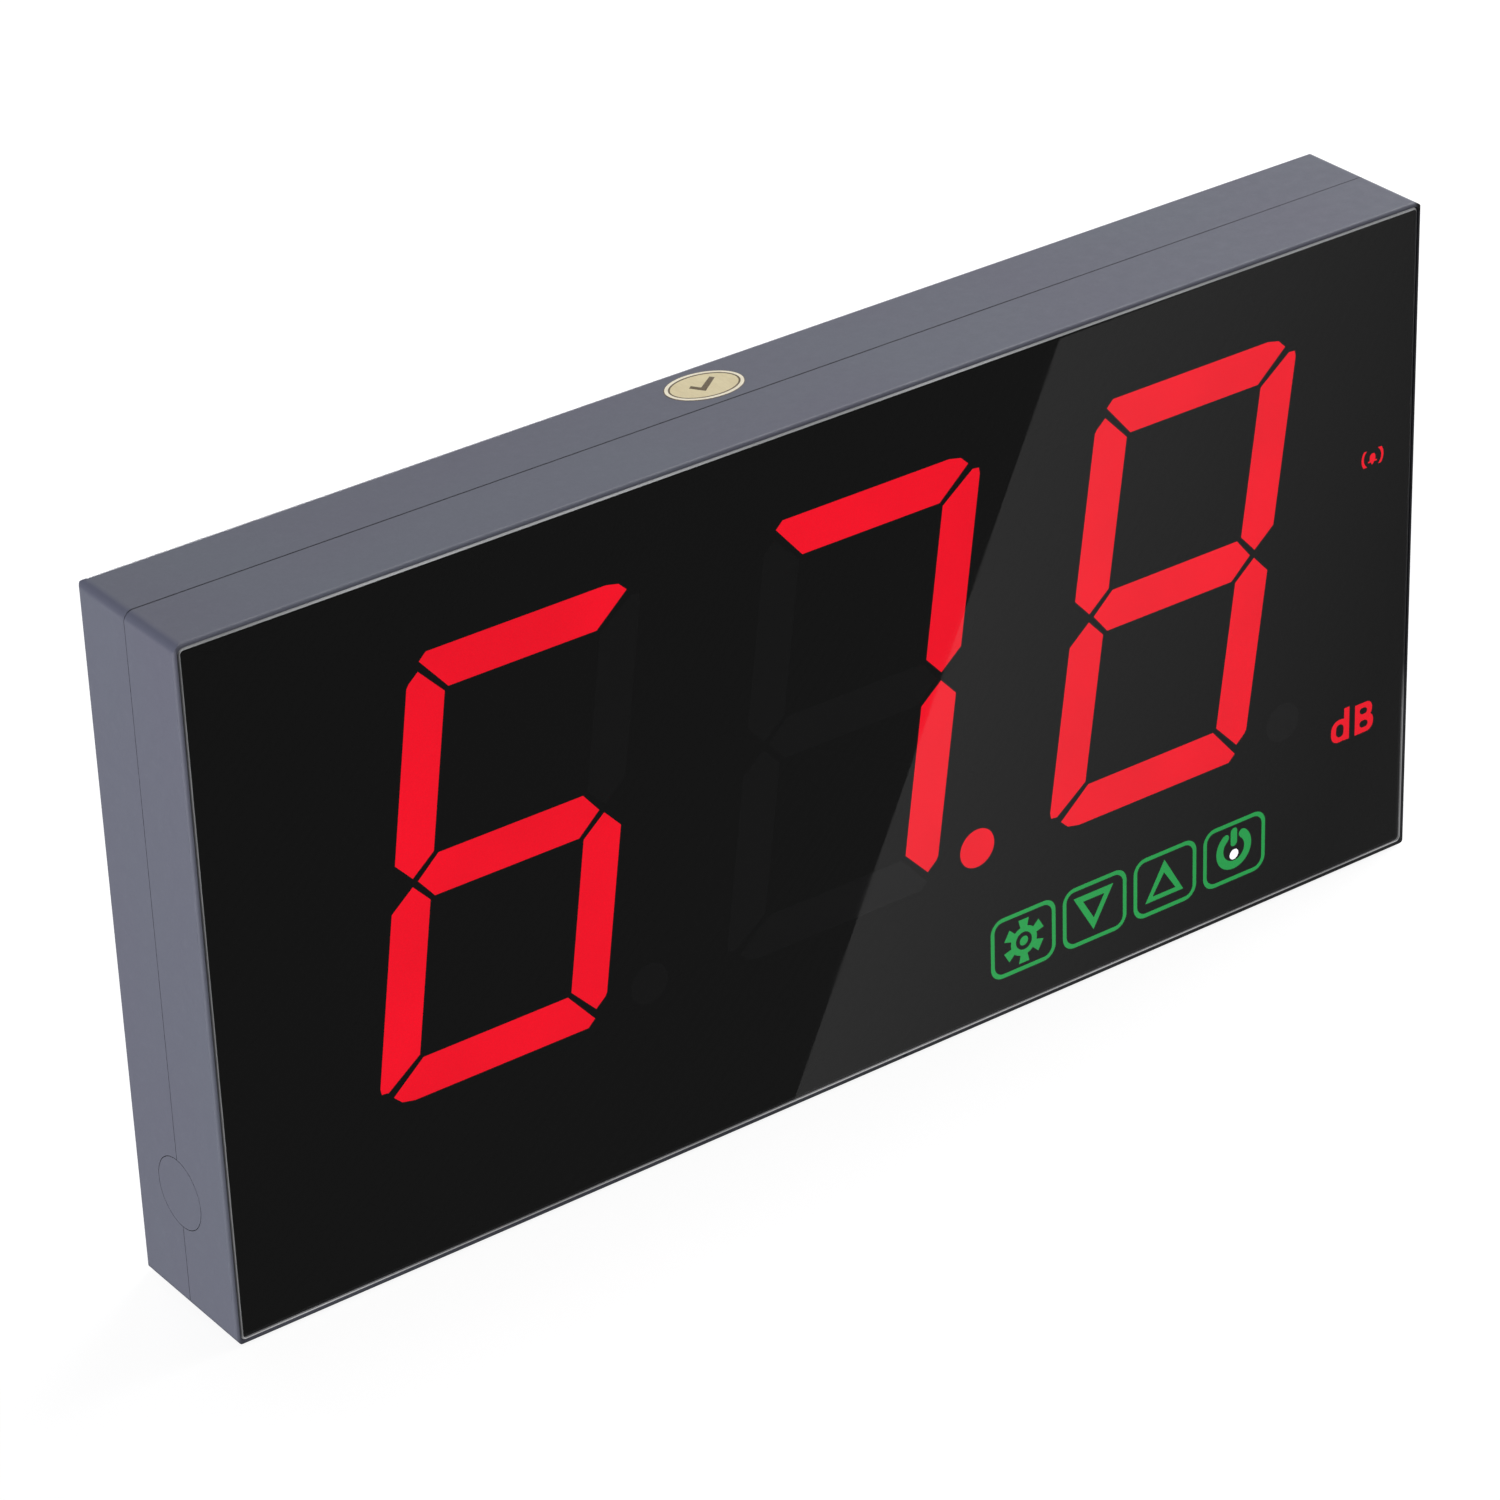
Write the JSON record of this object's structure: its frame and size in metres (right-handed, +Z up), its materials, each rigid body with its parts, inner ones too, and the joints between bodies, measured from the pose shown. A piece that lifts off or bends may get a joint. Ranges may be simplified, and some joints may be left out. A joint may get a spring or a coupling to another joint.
{
  "type": "sound level meter",
  "caption": "Wall-hanging sound level meter: flat slate-grey case, glossy black front, large red light-segment numerals and green touch keys.",
  "frame": {"origin": "middle of the case's footprint, on the plane of its underside", "axes": "+X to the right as seen from the front, +Y from the front panel to the wall, +Z up"},
  "size_m": [0.4, 0.0454, 0.2041],
  "materials": {
    "case_plastic": "fine-textured moulded ABS, slate grey",
    "smoked_acrylic": "polished smoked acrylic",
    "printed_black": "black screen print",
    "tape_black": "foam tape",
    "black_plastic": "matt black",
    "lit_red": "lit red diffuser",
    "dark_lens": "unlit smoked diffuser",
    "lit_green": "lit green diffuser",
    "lit_white": "lit white diffuser",
    "white_plastic": "matt white",
    "circuit_board": "green solder mask",
    "led_package": "surface-mounted light source",
    "chip_black": "moulded chip package",
    "zinc_steel": "zinc-plated steel",
    "spring_wire": "bright spring wire",
    "ribbon_grey": "flat cable",
    "connector_ivory": "moulded connector",
    "ferrite": "ferrite",
    "capacitor_sleeve": "shrink sleeve",
    "ceramic_brown": "ceramic",
    "trimmer_blue": "moulded",
    "contact_brass": "plated brass",
    "capsule_aluminium": "drawn can",
    "boot_rubber": "soft rubber",
    "gauze_steel": "woven gauze",
    "lead_black": "screened lead",
    "sticker_film": "printed film"
  },
  "bodies": {
    "case": {"front_shell": "case_plastic", "rear_shell": "case_plastic", "front_panel": "smoked_acrylic", "panel_mask": "printed_black", "panel_tape": "tape_black", "digit_housing_tens": "black_plastic", "digit_housing_units": "black_plastic", "digit_housing_tenths": "black_plastic", "lit_segments_tens": "lit_red", "lit_segments_units": "lit_red", "lit_segments_tenths": "lit_red", "dark_segments": "dark_lens", "decimal_point_lens": "lit_red", "unit_light_box": "white_plastic", "unit_diffuser": "lit_red", "alarm_light_box": "white_plastic", "alarm_diffuser": "lit_red", "key_diffusers": "lit_green", "power_dot_lens": "lit_white", "display_board": "circuit_board", "display_leds": "led_package", "driver_chips": "chip_black", "display_board_screws": "zinc_steel", "key_light_box": "white_plastic", "touch_board": "circuit_board", "touch_springs": "spring_wire", "key_leds": "led_package", "touch_chip": "chip_black", "touch_board_screws": "zinc_steel", "touch_lead": "ribbon_grey", "touch_lead_sockets": "connector_ivory", "main_board": "circuit_board", "main_board_screws": "zinc_steel", "microcontroller": "chip_black", "microphone_amplifier": "chip_black", "voltage_regulator": "chip_black", "power_inductor": "ferrite", "capacitors": "capacitor_sleeve", "chip_passives": "ceramic_brown", "buzzer": "black_plastic", "calibration_trimmer": "trimmer_blue", "dc_jack": "black_plastic", "dc_jack_pin": "contact_brass", "display_ribbon": "ribbon_grey", "ribbon_sockets": "black_plastic", "microphone_insert": "case_plastic", "microphone_capsule": "capsule_aluminium", "microphone_boot": "boot_rubber", "microphone_gauze": "gauze_steel", "microphone_lead": "lead_black", "microphone_lead_socket": "connector_ivory", "blanking_plug": "case_plastic", "case_screws": "zinc_steel", "inspection_sticker": "sticker_film"},
    "trimmer": {"trimmer_rotor": "white_plastic"}
  },
  "joints": [
    {"name": "trimmer_turn", "type": "hinge", "parent": "case", "child": "trimmer", "pos_m": [0.1, 0.019, 0.03], "axis": [0, 1, 0], "range_deg": [-130, 130]}
  ]
}
